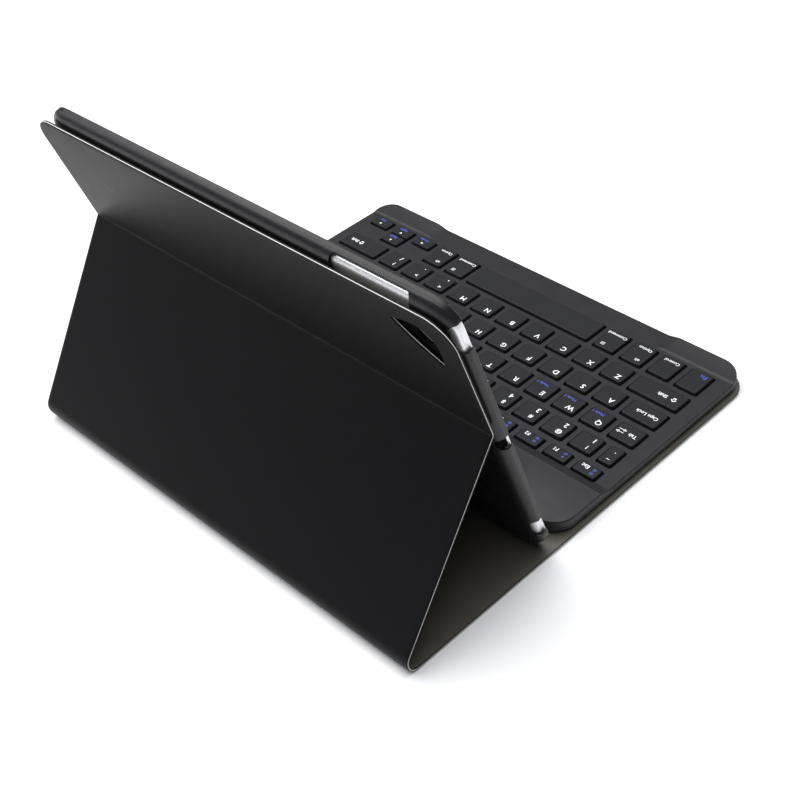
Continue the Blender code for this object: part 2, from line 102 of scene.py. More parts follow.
# name, start and end along the edge, start and end forward, edge (0 the top one, 1 the short one)
BUTTONS = (
    ("tablet_volume_up", -83.0, -73.0, 4.4, 5.8, 0),
    ("tablet_volume_down", -102.0, -92.0, 4.4, 5.8, 0),
    ("tablet_power_button", 50.0, 58.0, 5.8, 7.2, 1),
)

KB_HALF = 125.4
KB_FRONT = -121.25
KB_REAR = 25.55
KB_CORNERS = (13.5, 9.5, 12.5, 12.5)
RAISE = 1.8                 # height of the rear strip above the key field
RAMP = (-10.4, -4.7)        # where the rear strip's rise starts and ends
BEAD = 0.03                 # height of the fine line along the top of that rise
LUG_X = (77.0, 85.5)
LUG_Y = (-110.0, -108.6)    # the short step at a lug's foot
LUG_STEP = 0.32             # share of RAISE in that step
LUG_CLIMB = 0.53            # share of RAISE in the slope from the step to the front edge
LUG_RUN = 11.2
WELL_GAP = 0.85
LIGHT_X = (92.0, 99.0, 106.0)
LIGHT_Y = 2.2
CAP_TOP = 9.0
PITCH = 17.36
CAP = 12.82
NARROW_PITCH = 15.38
NARROW_CAP = 10.84

# The soft cover has settled at its +X end: how far that end has moved, in millimetres.
PANEL_LEAN = (1.6, 1.7)     # across and back, at the top of the lower panel
FLAP_SPREAD = 1.3
REAR_DRAW = 0.9
FLAP_SAG = 0.55
TRAY_LEAN = 1.0
TRAY_DROP = 0.65

WORLD = 0.25
SOFTBOXES = (
    ("softbox_top", (0.35, 0.1, 1.5), (0.1, 0.0, 0.0), (2.2, 2.2), 55),
    ("softbox_left", (1.5, 0.7, 0.9), (0.0, 0.05, 0.05), (1.0, 1.0), 5),
)


# ---- materials ---------------------------------------------------------------------------
def surface(name, colour, rough, metallic=0.0, tone=(25.0, 0.12), rough_span=0.06, grain=None,
            coords="Object", **sockets):
    """Principled surface with a slow tone variation and a bump grain.

    grain is a list of (kind, scale per metre, stretch, strength, height in metres).
    """
    mat = bpy.data.materials.new(name)
    mat.use_nodes = True
    nodes, links = mat.node_tree.nodes, mat.node_tree.links
    bsdf = nodes["Principled BSDF"]
    bsdf.inputs["Metallic"].default_value = metallic
    for key, value in sockets.items():
        bsdf.inputs[key.replace("_", " ")].default_value = value
    source = nodes.new("ShaderNodeTexCoord").outputs[coords]

    def stretched(stretch):
        mapping = nodes.new("ShaderNodeMapping")
        mapping.inputs["Scale"].default_value = stretch
        links.new(source, mapping.inputs["Vector"])
        return mapping.outputs["Vector"]

    def noise(scale, detail, stretch=(1, 1, 1)):
        tex = nodes.new("ShaderNodeTexNoise")
        tex.inputs["Scale"].default_value = scale
        tex.inputs["Detail"].default_value = detail
        links.new(stretched(stretch), tex.inputs["Vector"])
        return tex.outputs["Fac"]

    slow = noise(tone[0], 3.0)
    ramp = nodes.new("ShaderNodeValToRGB")
    ramp.color_ramp.elements[0].position = 0.3
    ramp.color_ramp.elements[1].position = 0.7
    ramp.color_ramp.elements[0].color = (*[c * (1 - tone[1]) for c in colour], 1)
    ramp.color_ramp.elements[1].color = (*[c * (1 + tone[1]) for c in colour], 1)
    links.new(slow, ramp.inputs["Fac"])
    links.new(ramp.outputs["Color"], bsdf.inputs["Base Color"])
    spread = nodes.new("ShaderNodeMapRange")
    spread.inputs["From Min"].default_value = 0.3
    spread.inputs["From Max"].default_value = 0.7
    spread.inputs["To Min"].default_value = max(rough - rough_span, 0.02)
    spread.inputs["To Max"].default_value = rough + rough_span
    links.new(noise(tone[0] * 9, 4.0), spread.inputs["Value"])
    links.new(spread.outputs["Result"], bsdf.inputs["Roughness"])

    normal = None
    for kind, scale, stretch, strength, height in grain or ():
        if kind == "cells":
            tex = nodes.new("ShaderNodeTexVoronoi")
            tex.feature = "SMOOTH_F1"
            tex.inputs["Scale"].default_value = scale
            links.new(stretched(stretch), tex.inputs["Vector"])
            value = tex.outputs["Distance"]
        elif kind == "weave":
            parts = []
            for axis in ("X", "Y"):
                wave = nodes.new("ShaderNodeTexWave")
                wave.bands_direction = axis
                wave.inputs["Scale"].default_value = scale
                wave.inputs["Distortion"].default_value = 1.2
                links.new(stretched(stretch), wave.inputs["Vector"])
                parts.append(wave.outputs["Fac"])
            blend = nodes.new("ShaderNodeMath")
            blend.operation = "MULTIPLY"
            links.new(parts[0], blend.inputs[0])
            links.new(parts[1], blend.inputs[1])
            value = blend.outputs["Value"]
        else:
            value = noise(scale, 5.0, stretch)
        bump = nodes.new("ShaderNodeBump")
        bump.inputs["Strength"].default_value = strength
        bump.inputs["Distance"].default_value = height
        links.new(value, bump.inputs["Height"])
        if normal:
            links.new(normal, bump.inputs["Normal"])
        normal = bump.outputs["Normal"]
    if normal:
        links.new(normal, bsdf.inputs["Normal"])
    return mat


FLAT = (1, 1, 1)
MAT = {
    "skin": surface("folio_skin", (0.0027, 0.0028, 0.0033), 0.46, tone=(14, 0.08), rough_span=0.015,
                    coords="UV",
                    grain=[("cells", 2600, FLAT, 0.16, 0.00005), ("noise", 1800, FLAT, 0.1, 0.00004)],
                    Specular_IOR_Level=0.13),
    "core": surface("folio_board", (0.60, 0.59, 0.57), 0.8, tone=(300, 0.08),
                    grain=[("noise", 4000, FLAT, 0.4, 0.00005)]),
    "lining": surface("folio_lining", (0.078, 0.073, 0.058), 0.4, tone=(20, 0.12), coords="UV",
                      grain=[("weave", 900, FLAT, 0.18, 0.00003), ("noise", 2500, FLAT, 0.2, 0.00004)],
                      Sheen_Weight=0.08, Sheen_Roughness=0.4),
    "tray": surface("tray_plastic", (0.007, 0.007, 0.0078), 0.33, tone=(30, 0.1),
                    grain=[("noise", 3500, FLAT, 0.25, 0.00003)], Specular_IOR_Level=0.35),
    "deck": surface("deck_paint", (0.0158, 0.0157, 0.0174), 0.44, tone=(12, 0.05),
                    grain=[("noise", 700, (0.05, 4.0, 1.0), 0.22, 0.00004),
                           ("noise", 5000, FLAT, 0.12, 0.00002)], Specular_IOR_Level=0.285),
    "case": surface("case_plastic", (0.012, 0.012, 0.013), 0.45, tone=(30, 0.1),
                    grain=[("noise", 3500, FLAT, 0.3, 0.00003)]),
    "cap": surface("keycap_plastic", (0.0096, 0.0098, 0.0108), 0.52, tone=(60, 0.06),
                   grain=[("noise", 4200, FLAT, 0.3, 0.00003)], Specular_IOR_Level=0.24),
    # Near-black matt sheet. In the tray's camera cutout it is painted shade, standing in for the flap's
    # shadow; in the tablet's port it is the port's dark inside, with painted shade added.
    "black_and_painted_shade": surface("cutout_black_and_painted_shade", (0.0025, 0.0025, 0.0027), 0.95, tone=(300, 0.2),
                     grain=[("noise", 5000, FLAT, 0.4, 0.00005)], Specular_IOR_Level=0.05),
    "white": surface("legend_white", (0.82, 0.82, 0.84), 0.6, tone=(400, 0.03)),
    "blue": surface("legend_blue", (0.06, 0.075, 0.42), 0.6, tone=(400, 0.05)),
    "metal": surface("tablet_metal", (0.8, 0.8, 0.81), 0.4, metallic=0.85, tone=(60, 0.03), rough_span=0.02,
                     grain=[("noise", 6000, FLAT, 0.05, 0.00001)]),
    "glass": surface("screen_glass", (0.0045, 0.0045, 0.005), 0.07, tone=(8, 0.1), rough_span=0.015,
                     Coat_Weight=0.6, Coat_Roughness=0.03),
    "display": surface("screen_display", (0.008, 0.009, 0.012), 0.09, tone=(6, 0.15), rough_span=0.015,
                       Coat_Weight=0.6, Coat_Roughness=0.03),
    "lens": surface("lens_glass", (0.004, 0.004, 0.007), 0.06, tone=(200, 0.3), rough_span=0.02,
                    Coat_Weight=1.0, Coat_Roughness=0.02),
    "steel": surface("plate_steel", (0.42, 0.42, 0.43), 0.38, metallic=1.0, tone=(40, 0.08),
                     grain=[("noise", 900, (0.1, 3, 1), 0.2, 0.00003)]),
    "silicone": surface("dome_silicone", (0.05, 0.05, 0.052), 0.7, tone=(60, 0.1),
                        grain=[("noise", 2500, FLAT, 0.2, 0.00003)]),
    "cell": surface("cell_wrap", (0.12, 0.13, 0.15), 0.45, tone=(30, 0.1),
                    grain=[("noise", 700, FLAT, 0.3, 0.0001)]),
    "circuit": surface("circuit_mask", (0.01, 0.07, 0.025), 0.4, tone=(250, 0.35),
                       grain=[("cells", 900, FLAT, 0.3, 0.0001)]),
    "magnet": surface("magnet_nickel", (0.5, 0.5, 0.5), 0.25, metallic=1.0, tone=(100, 0.05),
                      grain=[("noise", 3000, FLAT, 0.1, 0.00002)]),
    "light": surface("light_pipe", (0.35, 0.42, 0.5), 0.3, tone=(500, 0.05), Transmission_Weight=0.3),
}


# ---- mesh building -----------------------------------------------------------------------
def rounded(x0, x1, y0, y1, radii, steps=8):
    """Counter-clockwise outline; radii for the corners x0y0, x1y0, x1y1 and x0y1."""
    if not isinstance(radii, (tuple, list)):
        radii = (radii,) * 4
    corners = ((x0, y0, 1, 1, 180), (x1, y0, -1, 1, 270), (x1, y1, -1, -1, 0), (x0, y1, 1, -1, 90))
    points = []
    for (cx, cy, sx, sy, start), r in zip(corners, radii):
        if r <= 0:
            points.append((cx, cy))
            continue
        for i in range(steps + 1):
            a = math.radians(start + 90.0 * i / steps)
            points.append((cx + sx * r + r * math.cos(a), cy + sy * r + r * math.sin(a)))
    return points


def circle(cx, cy, r, count=40):
    return [(cx + r * math.cos(2 * math.pi * i / count), cy + r * math.sin(2 * math.pi * i / count))
            for i in range(count)]


def spaced(a, b, count):
    return [a + (b - a) * i / count for i in range(count + 1)]


def ring(bm, outline, z):
    return [bm.verts.new((x, y, z)) for x, y in outline]


def band(bm, low, high, mat=0):
    for i in range(len(low)):
        j = (i + 1) % len(low)
        bm.faces.new((low[i], low[j], high[j], high[i])).material_index = mat


def fill(bm, loops, mat=0):
    """Close one outer loop, less any holes in it."""
    if len(loops) == 1:
        bm.faces.new(loops[0]).material_index = mat
        return
    edges = []
    for loop in loops:
        for a, b in zip(loop, loop[1:] + loop[:1]):
            edges.append(bm.edges.get((a, b)) or bm.edges.new((a, b)))
    made = bmesh.ops.triangle_fill(bm, edges=edges, use_beauty=True, use_dissolve=False)
    for item in made["geom"]:
        if isinstance(item, bmesh.types.BMFace):
            item.material_index = mat


def solid(bm, levels, outline, holes=(), mat=0, wall=0):
    """A closed slab: rings of outline(inset) at each (height, inset), with holes(inset) through it."""
    walls = []
    for shape, sign in [(outline, 1)] + [(h, -1) for h in holes]:
        rings = [ring(bm, shape(inset * sign), z) for z, inset in levels]
        for low, high in zip(rings, rings[1:]):
            band(bm, low, high, wall)
        walls.append(rings)
    fill(bm, [w[0] for w in walls], mat)
    fill(bm, [w[-1] for w in walls], mat)


def slice_at(bm, axis, stations):
    """Adds edge lines across the mesh, so that it can bend there."""
    normal = Vector([1.0 if i == axis else 0.0 for i in range(3)])
    for at in stations:
        bmesh.ops.bisect_plane(bm, geom=bm.verts[:] + bm.edges[:] + bm.faces[:], dist=1e-5,
                               plane_co=normal * at, plane_no=normal)


def finish_piece(name, bm, mats, body=None, replaces=(), angle=32.0, cutters=()):
    """Turns the millimetre mesh into a shaded piece in metres that rides on a body."""
    bmesh.ops.recalc_face_normals(bm, faces=bm.faces)
    bmesh.ops.scale(bm, vec=(MM, MM, MM), verts=bm.verts)
    mesh = bpy.data.meshes.new(name)
    bm.to_mesh(mesh)
    bm.free()
    obj = bpy.data.objects.new(name, mesh)
    bpy.context.scene.collection.objects.link(obj)
    for mat in mats:
        mesh.materials.append(MAT[mat])
    if cutters:
        for cutter in cutters:
            mod = obj.modifiers.new("cut", "BOOLEAN")
            mod.operation, mod.object, mod.solver = "DIFFERENCE", cutter, "EXACT"
        graph = bpy.context.evaluated_depsgraph_get()
        cut_mesh = bpy.data.meshes.new_from_object(obj.evaluated_get(graph))
        obj.modifiers.clear()
        obj.data = cut_mesh
        bpy.data.meshes.remove(mesh)
        cut_mesh.name = name
        mesh = cut_mesh
    mesh.polygons.foreach_set("use_smooth", [True] * len(mesh.polygons))
    mesh.set_sharp_from_angle(angle=math.radians(angle))
    if body:
        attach(obj, body)
    if replaces:
        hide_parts(*replaces)
    return obj


def tool(bm):
    """A cutter for finish_piece, removed by drop_tools."""
    bmesh.ops.recalc_face_normals(bm, faces=bm.faces)
    bmesh.ops.scale(bm, vec=(MM, MM, MM), verts=bm.verts)
    mesh = bpy.data.meshes.new("tool")
    bm.to_mesh(mesh)
    bm.free()
    obj = bpy.data.objects.new("tool", mesh)
    bpy.context.scene.collection.objects.link(obj)
    return obj


def drop_tools():
    for obj in [o for o in bpy.data.objects if o.name.startswith("tool")]:
        bpy.data.objects.remove(obj, do_unlink=True)


# ---- the folio cover ---------------------------------------------------------------------
reach = math.hypot(CREASE_Y - FOLD_Y, CREASE_Z - FOLD_R)
PANEL = math.sqrt(reach ** 2 - FOLD_R ** 2)
TILT = math.atan2(CREASE_Z - FOLD_R, CREASE_Y - FOLD_Y) + math.atan2(FOLD_R, PANEL)
UP = math.pi / 2 - LEAN
TURN = TILT - UP
SETBACK = CREASE_R * math.tan(TURN / 2)
L_FOLD = FOLD_Y - FRONT
L_PANEL = L_FOLD + FOLD_R * TILT
L_BEND = L_PANEL + PANEL - SETBACK
L_FLAP = L_BEND + CREASE_R * TURN
L_TOP = L_FLAP + FLAP_TOP - SETBACK
L_SPLIT = L_BEND - 1.2      # the lower and upper cover pieces meet here
GROOVES = (L_SPLIT, L_FLAP + 0.9)
GROOVE_HALF = 0.55
GROOVE_DEPTH = 0.07


def station(length):
    """Place and heading of the outer skin at a distance from the base's front edge."""
    if length <= L_FOLD:
        return FRONT + length, 0.0, 0.0
    if length <= L_PANEL:
        a = (length - L_FOLD) / FOLD_R
        return FOLD_Y + FOLD_R * math.sin(a), FOLD_R - FOLD_R * math.cos(a), a
    t = min(length, L_BEND) - L_PANEL
    y = FOLD_Y + FOLD_R * math.sin(TILT) + t * math.cos(TILT)
    z = FOLD_R - FOLD_R * math.cos(TILT) + t * math.sin(TILT)
    if length <= L_BEND:
        return y, z, TILT
    a = min((length - L_BEND) / CREASE_R, TURN)
    cy, cz = y + CREASE_R * math.sin(TILT), z - CREASE_R * math.cos(TILT)
    heading = TILT - a
    y, z = cy - CREASE_R * math.sin(heading), cz + CREASE_R * math.cos(heading)
    rest = max(length - L_FLAP, 0.0)
    return y + rest * math.cos(heading), z + rest * math.sin(heading), heading


def lay(bm):
    """Bends the flat cover (across, along, through) into its folded place, with UVs laid flat."""
    uv = bm.loops.layers.uv.new("flat")
    for face in bm.faces:
        for loop in face.loops:
            loop[uv].uv = (loop.vert.co.x * MM, loop.vert.co.y * MM)
    for vert in bm.verts:
        x, length, depth = vert.co
        if depth < 0.01:
            for groove in GROOVES:
                off = abs(length - groove) / GROOVE_HALF
                if off < 1:
                    depth += GROOVE_DEPTH * (1 - off * off)
        y, z, heading = station(length)
        across = (x - X0) / (X1 - X0)
        panel = min(max((length - L_FOLD) / (L_BEND - L_FOLD), 0.0), 1.0)
        flap = min(max((length - L_FLAP) / (L_TOP - L_FLAP), 0.0), 1.0)
        rear = min(max((length - L_FOLD + 20.0) / 20.0, 0.0), 1.0)
        x += across * (PANEL_LEAN[0] * panel + FLAP_SPREAD * flap - REAR_DRAW * rear)
        y += across * PANEL_LEAN[1] * panel + flap * (0.6 - 0.3 * across)
        z -= flap * FLAP_SAG * (1 - (1 - across) ** 4)
        vert.co = (x, y - depth * math.sin(heading), z + depth * math.cos(heading))


def camera_outline(grow):
    """Leaf outline of the camera cutout: a full arc above the chord and a slight one below."""
    (ax, ay), (bx, by) = HOLE_A, HOLE_B
    chord = math.hypot(bx - ax, by - ay)
    ux, uy = (bx - ax) / chord, (by - ay) / chord
    count = 28
    upper, lower = [], []
    for i in range(count):
        t = i / count
        lift = math.sin(math.pi * t) ** 0.8 * HOLE_BULGE + grow * math.sin(math.pi * t)
        d = chord * t - grow * math.cos(math.pi * t)
        upper.append((ax + ux * d + uy * lift, ay + uy * d - ux * lift))
        t = 1.0 - t
        drop = math.sin(math.pi * t) * (HOLE_BELLY + grow)
        d = chord * t - grow * math.cos(math.pi * t)
        lower.append((ax + ux * d - uy * drop, ay + uy * d + ux * drop))
    return upper + lower


# Each layer's name, its (depth, inset) rings and its slot.
LAYERS = (
    ("skin", [(0.0, 3.2), (0.025, 1.9), (0.08, 0.9), (0.17, 0.3), (0.3, 0.04), (0.61, 0.0)], "cover_skin"),
    ("core", [(0.62, 0.0), (0.98, 0.0)], "board"),
    ("lining", [(0.99, 0.0), (1.62, 0.0), (1.75, 0.16)], "lining"),
)
CAD_LAYER = {"skin": "skin", "core": "board", "lining": "lining"}


def cover():
    """The three layers, each in a lower and an upper piece that bend at the folds."""
    for label, levels, slot in LAYERS:
        wall = 1 if label == "lining" else 0
        bm = bmesh.new()
        solid(bm, levels, lambda i: rounded(X0 + i, X1 - i, i, L_SPLIT, (BASE_CORNER - i,) * 2 + (0, 0), 12),
              wall=wall)
        slice_at(bm, 1, spaced(L_FOLD, L_PANEL, 36) + spaced(L_SPLIT - GROOVE_HALF, L_SPLIT, 3)[:-1])
        lay(bm)
        obj = finish_piece("cover_lower_" + label, bm, [label, "skin"])
        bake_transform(obj)
        gone = ["base_" + CAD_LAYER[label], "lower_back_" + CAD_LAYER[label]]
        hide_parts(*(gone + (["fold_strip"] if label == "skin" else [])))

        bm = bmesh.new()

        def hole(grow, base=L_FLAP - SETBACK):
            return [(x, y + base) for x, y in camera_outline(min(-grow, 0.15))]

        solid(bm, levels,
              lambda i: rounded(X0 + i, X1 - i, L_SPLIT, L_TOP - i, (0, 0) + (FLAP_CORNER - i,) * 2, 14),
              [hole], wall=wall)
        slice_at(bm, 1, spaced(L_SPLIT, L_SPLIT + GROOVE_HALF, 3)[1:] + spaced(L_BEND, L_FLAP, 8)
                 + spaced(GROOVES[1] - GROOVE_HALF, GROOVES[1] + GROOVE_HALF, 6))
        lay(bm)
        obj = finish_piece("cover_upper_" + label, bm, [label, "skin"])
        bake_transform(obj)
        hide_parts("upper_flap_" + CAD_LAYER[label])


# ---- the tray and the tablet in it -------------------------------------------------------
def stand_up(bm):
    """Carries (across, up, forward) on the flap to the frame's axes."""
    for vert in bm.verts:
        x, s, n = vert.co
        across = (x - TRAY["x"][0]) / (TRAY["x"][1] - TRAY["x"][0])
        drop = TRAY_DROP * across * max(s, 0.0) / TRAY["top"]
        lean = TRAY_LEAN * across * ((s - TRAY["foot"]) / (TRAY["top"] - TRAY["foot"]))
        vert.co = (x, CREASE_Y + s * math.sin(LEAN) - n * math.cos(LEAN) + lean,
                   CREASE_Z + s * math.cos(LEAN) + n * math.sin(LEAN) - drop)


def shell(size, steps=16):
    def outline(inset):
        return rounded(size["x"][0] + inset, size["x"][1] - inset, size["foot"] + inset,
                       size["top"] - inset, size["corner"] - inset, steps)
    return outline


def back_round(low, high, depth, base=0.0, count=14):
    """Profile from a flat back round to a side wall: (forward, inset) pairs."""
    points = []
    for i in range(count + 1):
        r = math.cos(math.pi / 2 * i / count) ** 1.1
        points.append((high - (high - low) * r, base + depth * (1 - (1 - r ** 1.8) ** (1 / 1.8))))
    return points


def prism(points, axis, levels):
    """A prism along X (axis 0) or along the flap (axis 1), from an outline in the other two."""
    bm = bmesh.new()
    rings = []
    for at in levels:
        if axis == 0:
            rings.append([bm.verts.new((at, a, b)) for a, b in points])
        else:
            rings.append([bm.verts.new((a, at, b)) for a, b in points])
    band(bm, rings[0], rings[1])
    fill(bm, [rings[0]])
    fill(bm, [rings[1]])
    return bm


def tray():
    """The tray shell, cut by the volume slot and the notches in both short sides."""
    cutters = []
    bm = prism(rounded(*SLOT_X, -1.0, SLOT_FRONT, (0, 0, 3.0, 3.0), 12), 1,
               (TRAY["top"] + 2, TRAY["top"] - 9.5))
    stand_up(bm)
    cutters.append(tool(bm))
    for side, edge in ((-1, TRAY["x"][0]), (1, TRAY["x"][1])):
        for low, high in NOTCHES:
            shape = rounded(low, high, 2.6, TRAY_RIM + 2, (2.8, 1.9, 0, 0), 10)
            bm = prism(shape, 0, (edge + side * 2, edge - side * 4.6))
            stand_up(bm)
            cutters.append(tool(bm))
    outline = shell(TRAY)
    profile = back_round(1.95, 6.38, 6.5)
    profile += [(6.44, 0.03), (6.52, 0.12), (6.58, 0.17), (6.66, 0.18), (8.1, 0.04), (8.2, 0.04),
                (8.42, 0.15), (8.55, 0.36), (8.6, 0.64), (8.55, 1.0), (8.35, 1.26), (8.1, 1.3)]
    profile += back_round(2.95, 5.75, 4.9, 1.3)[::-1]
    bm = bmesh.new()
    rings = [ring(bm, outline(i), n) for n, i in profile]
    for low, high in zip(rings, rings[1:]):
        band(bm, low, high)
    hole = circle(*LENS, 3.95)
    back, floor = ring(bm, hole, profile[0][0]), ring(bm, hole, profile[-1][0])
    # The leaf patch on the tray's back and the lens hole's wall take the black slot: painted shade where the
    # flap shadows the cutout.
    leaf = ring(bm, camera_outline(4.2), profile[0][0])
    band(bm, back, floor, 1)
    fill(bm, [rings[0], leaf])
    fill(bm, [leaf, back], 1)
    fill(bm, [rings[-1], floor])
    stand_up(bm)
    finish_piece("tray", bm, ["tray", "black_and_painted_shade"], "upper_back", ["tray_shell"], cutters=cutters)
    drop_tools()


def inset_at(profile, n):
    """Side inset of a (forward, inset) profile at one forward position."""
    for (n0, i0), (n1, i1) in zip(profile, profile[1:]):
        if n0 <= n <= n1 and n1 > n0:
            return i0 + (i1 - i0) * (n - n0) / (n1 - n0)
    return profile[-1][1]


def button(name, profile, low, high, n0, n1, side):
    """A low pad that follows the tablet's edge: side 0 is the top edge, side 1 the short edge."""
    bm = bmesh.new()
    solid(bm, [(-0.8, 0.0), (0.02, 0.0), (0.09, 0.05), (0.12, 0.14)],
          lambda i: rounded(low + i, high - i, n0 + i, n1 - i, (n1 - n0) / 2 - 0.05 - i, 8))
    slice_at(bm, 1, spaced(n0, n1, 8)[1:-1])
    for vert in bm.verts:
        along, n, lift = vert.co
        inset = inset_at(profile, n) - lift
        vert.co = (along, SLAB["top"] - inset, n) if side == 0 else (SLAB["x"][0] + inset, along, n)
    stand_up(bm)
    finish_piece("pad_" + name, bm, ["metal"], name + "_body", [name])


def tablet():
    """The tablet's housing with its port, button pads, front glass and display."""
    port = prism(rounded(-18.0, -9.8, 2.9, 7.4, 1.7, 10), 0, (SLAB["x"][0] - 2, SLAB["x"][0] + 3.5))
    stand_up(port)
    port = tool(port)
    outline = shell(SLAB)
    profile = back_round(3.25, 5.7, 4.6) + [(8.5, 0.0), (8.95, 0.35), (9.02, 0.75), (8.75, 1.1), (8.6, 1.45)]
    bm = bmesh.new()
    rings = [ring(bm, outline(i), n) for n, i in profile]
    rings.append(ring(bm, outline(1.5), 7.0))
    rings.append(ring(bm, outline(7.0), 4.3))
    for low, high in zip(rings, rings[1:]):
        band(bm, low, high)
    back, seat = ring(bm, circle(*LENS, 3.7), profile[0][0]), ring(bm, circle(*LENS, 3.7), 5.0)
    inner, lid = ring(bm, circle(*LENS, 4.4), 4.3), ring(bm, circle(*LENS, 4.4), 5.3)
    band(bm, back, seat)
    band(bm, inner, lid)
    fill(bm, [rings[0], back])
    fill(bm, [rings[-1], inner])
    fill(bm, [seat])
    fill(bm, [lid])
    stand_up(bm)
    finish_piece("tablet_body", bm, ["metal"], "tablet", ["tablet_housing"], cutters=[port])
    drop_tools()
    # A black insert in the port: the port's dark inside, darkened further with painted shade.
    bm = prism(rounded(-17.9, -9.9, 3.0, 7.3, 1.6, 8), 0, (SLAB["x"][0] + 0.5, SLAB["x"][0] + 3.4))
    stand_up(bm)
    finish_piece("tablet_port", bm, ["black_and_painted_shade"], "tablet")
    for name, low, high, n0, n1, side in BUTTONS:
        button(name, profile, low, high, n0, n1, side)
    bm = bmesh.new()
    solid(bm, [(7.6, 1.6), (9.05, 1.6), (9.2, 1.66), (9.28, 1.85)], outline)
    stand_up(bm)
    finish_piece("tablet_front_glass", bm, ["glass"], "tablet", ["tablet_screen"])
    bm = bmesh.new()
    solid(bm, [(9.272, 0.0), (9.295, 0.0)],
          lambda i: rounded(SLAB["x"][0] + 18, SLAB["x"][1] - 18,
                            SLAB["foot"] + 8.5, SLAB["top"] - 8.5, 2.0, 4))
    stand_up(bm)
    finish_piece("tablet_display", bm, ["display"], "tablet")


# ---- the keyboard ------------------------------------------------------------------------
def kb_outline(inset):
    return rounded(-KB_HALF + inset, KB_HALF - inset, KB_FRONT + inset, KB_REAR - inset,
                   [r - inset for r in KB_CORNERS], 14)


def ease(value, low, high):
    t = min(max((value - low) / (high - low), 0.0), 1.0)
    return t * t * (3 - 2 * t)


def deck_rise(x, y):
    """How far the top stands above the key field: the rear strip, and a lug at each front corner."""
    rear = min(max((y - RAMP[0]) / (RAMP[1] - RAMP[0]), 0.0), 1.0) ** 1.1
    bead = BEAD * math.exp(-((y - RAMP[1]) / 0.5) ** 2)
    climb = min(max((LUG_Y[0] - y) / LUG_RUN, 0.0), 1.0) ** 1.5
    lug = ease(abs(x), *LUG_X) * (LUG_STEP - LUG_STEP * ease(y, *LUG_Y) + LUG_CLIMB * climb)
    return RAISE * max(rear + bead, lug)


def wells():
    """Every cap's node, place in its row and edges: x0, x1, y0, y1."""
    spots = []
    for node in frame["nodes"]:
        if not node.startswith("key"):
            continue
        (x0, y0, _), (x1, y1, _) = box_mm(node)
        if node.startswith("key_"):
            spots.append((node, 0, x0, x1, y0, y1))
            continue
        for i, (a, b) in enumerate(row_caps(node, x0)):
            spots.append((node, i, a, b, y0, y1))
    return spots


ROW_COUNT = {"keys_function_row": 12, "keys_number_row": 12, "keys_qwerty_row": 12,
             "keys_asdf_row": 11, "keys_zxcv_row": 10}


def row_caps(node, start):
    caps = []
    for i in range(ROW_COUNT[node]):
        if node == "keys_qwerty_row" and i > 9:
            a = start + 10 * PITCH + (i - 10) * NARROW_PITCH
            caps.append((a, a + NARROW_CAP))
        else:
            caps.append((start + i * PITCH, start + i * PITCH + CAP))
    return caps


def side_openings():
    """Cutters for the charging socket and the power switch."""
    sizes = ((3.0, 11.8, 4.2, 6.9, 1.2), (-10.8, -4.2, 4.4, 6.5, 0.9))
    return [tool(prism(rounded(y0, y1, z0, z1, r, 6), 0, (KB_HALF + 2, KB_HALF - 3)))
            for y0, y1, z0, z1, r in sizes]


def keyboard():
    """The keyboard's bottom case, and the deck with its wells, strip and lugs."""
    cutters = side_openings()
    bm = bmesh.new()
    rings = [ring(bm, kb_outline(i), z) for z, i in
             ((2.05, 2.0), (2.15, 1.3), (2.5, 0.7), (3.1, 0.3), (3.9, 0.12), (4.9, 0.1), (5.0, 0.25),
              (5.0, 1.4), (2.75, 1.4))]
    for low, high in zip(rings, rings[1:]):
        band(bm, low, high)
    fill(bm, [rings[0]])
    fill(bm, [rings[-1]])
    finish_piece("keyboard_case", bm, ["case"], "base", ["kb_bottom_case"], cutters=cutters)

    bm = bmesh.new()
    outer = [ring(bm, kb_outline(i), z) for z, i in
             ((6.7, 1.35), (5.2, 1.35), (5.2, 0.12), (5.3, 0.0), (6.75, 0.0), (6.85, 0.1), (6.88, 0.42),
              (7.18, 0.42), (7.2, 0.1), (7.45, 0.1), (7.62, 0.2), (7.7, 0.42))]
    for low, high in zip(outer, outer[1:]):
        band(bm, low, high)
    holes = []
    boxes = [(x0, x1, y0, y1) for node, _, x0, x1, y0, y1 in wells() if node not in ("key_up", "key_down")]
    (x0, y0, _), _ = box_mm("key_down")
    _, (x1, y1, _) = box_mm("key_up")
    boxes.append((x0, x1, y0, y1))
    for x0, x1, y0, y1 in boxes:
        g = WELL_GAP
        holes.append([ring(bm, rounded(x0 - g + i, x1 + g - i, y0 - g + i, y1 + g - i, 1.35, 5), z)
                      for z, i in ((6.7, 0.0), (7.55, 0.0), (7.7, -0.12))])
    for x in LIGHT_X:
        holes.append([ring(bm, circle(x, LIGHT_Y, 1.0 + i, 20), z)
                      for z, i in ((6.7, 0.0), (7.6, 0.0), (7.7, 0.08))])
    for rings in holes:
        for low, high in zip(rings, rings[1:]):
            band(bm, low, high)
    fill(bm, [outer[0]] + [h[0] for h in holes])
    fill(bm, [outer[-1]] + [h[-1] for h in holes])
    slice_at(bm, 1, spaced(RAMP[0] - 0.6, RAMP[1] - 1.4, 8) + spaced(RAMP[1] - 1.2, RAMP[1] + 1.2, 10)
             + spaced(LUG_Y[0] - LUG_RUN, LUG_Y[0] - 0.6, 9) + spaced(LUG_Y[0] - 0.1, LUG_Y[1] + 0.1, 6))
    for side in (-1, 1):
        slice_at(bm, 0, [side * x for x in spaced(LUG_X[0] - 0.6, LUG_X[1] + 0.6, 18)])
    for vert in bm.verts:
        if vert.co.z > 6.6:
            share = 1.0 if vert.co.z > 6.9 or vert.co.z < 6.72 else ease(vert.co.z, 6.6, 6.9)
            vert.co.z += deck_rise(vert.co.x, vert.co.y) * share
    finish_piece("keyboard_deck", bm, ["deck"], "base", ["kb_deck"], cutters=cutters)
    drop_tools()


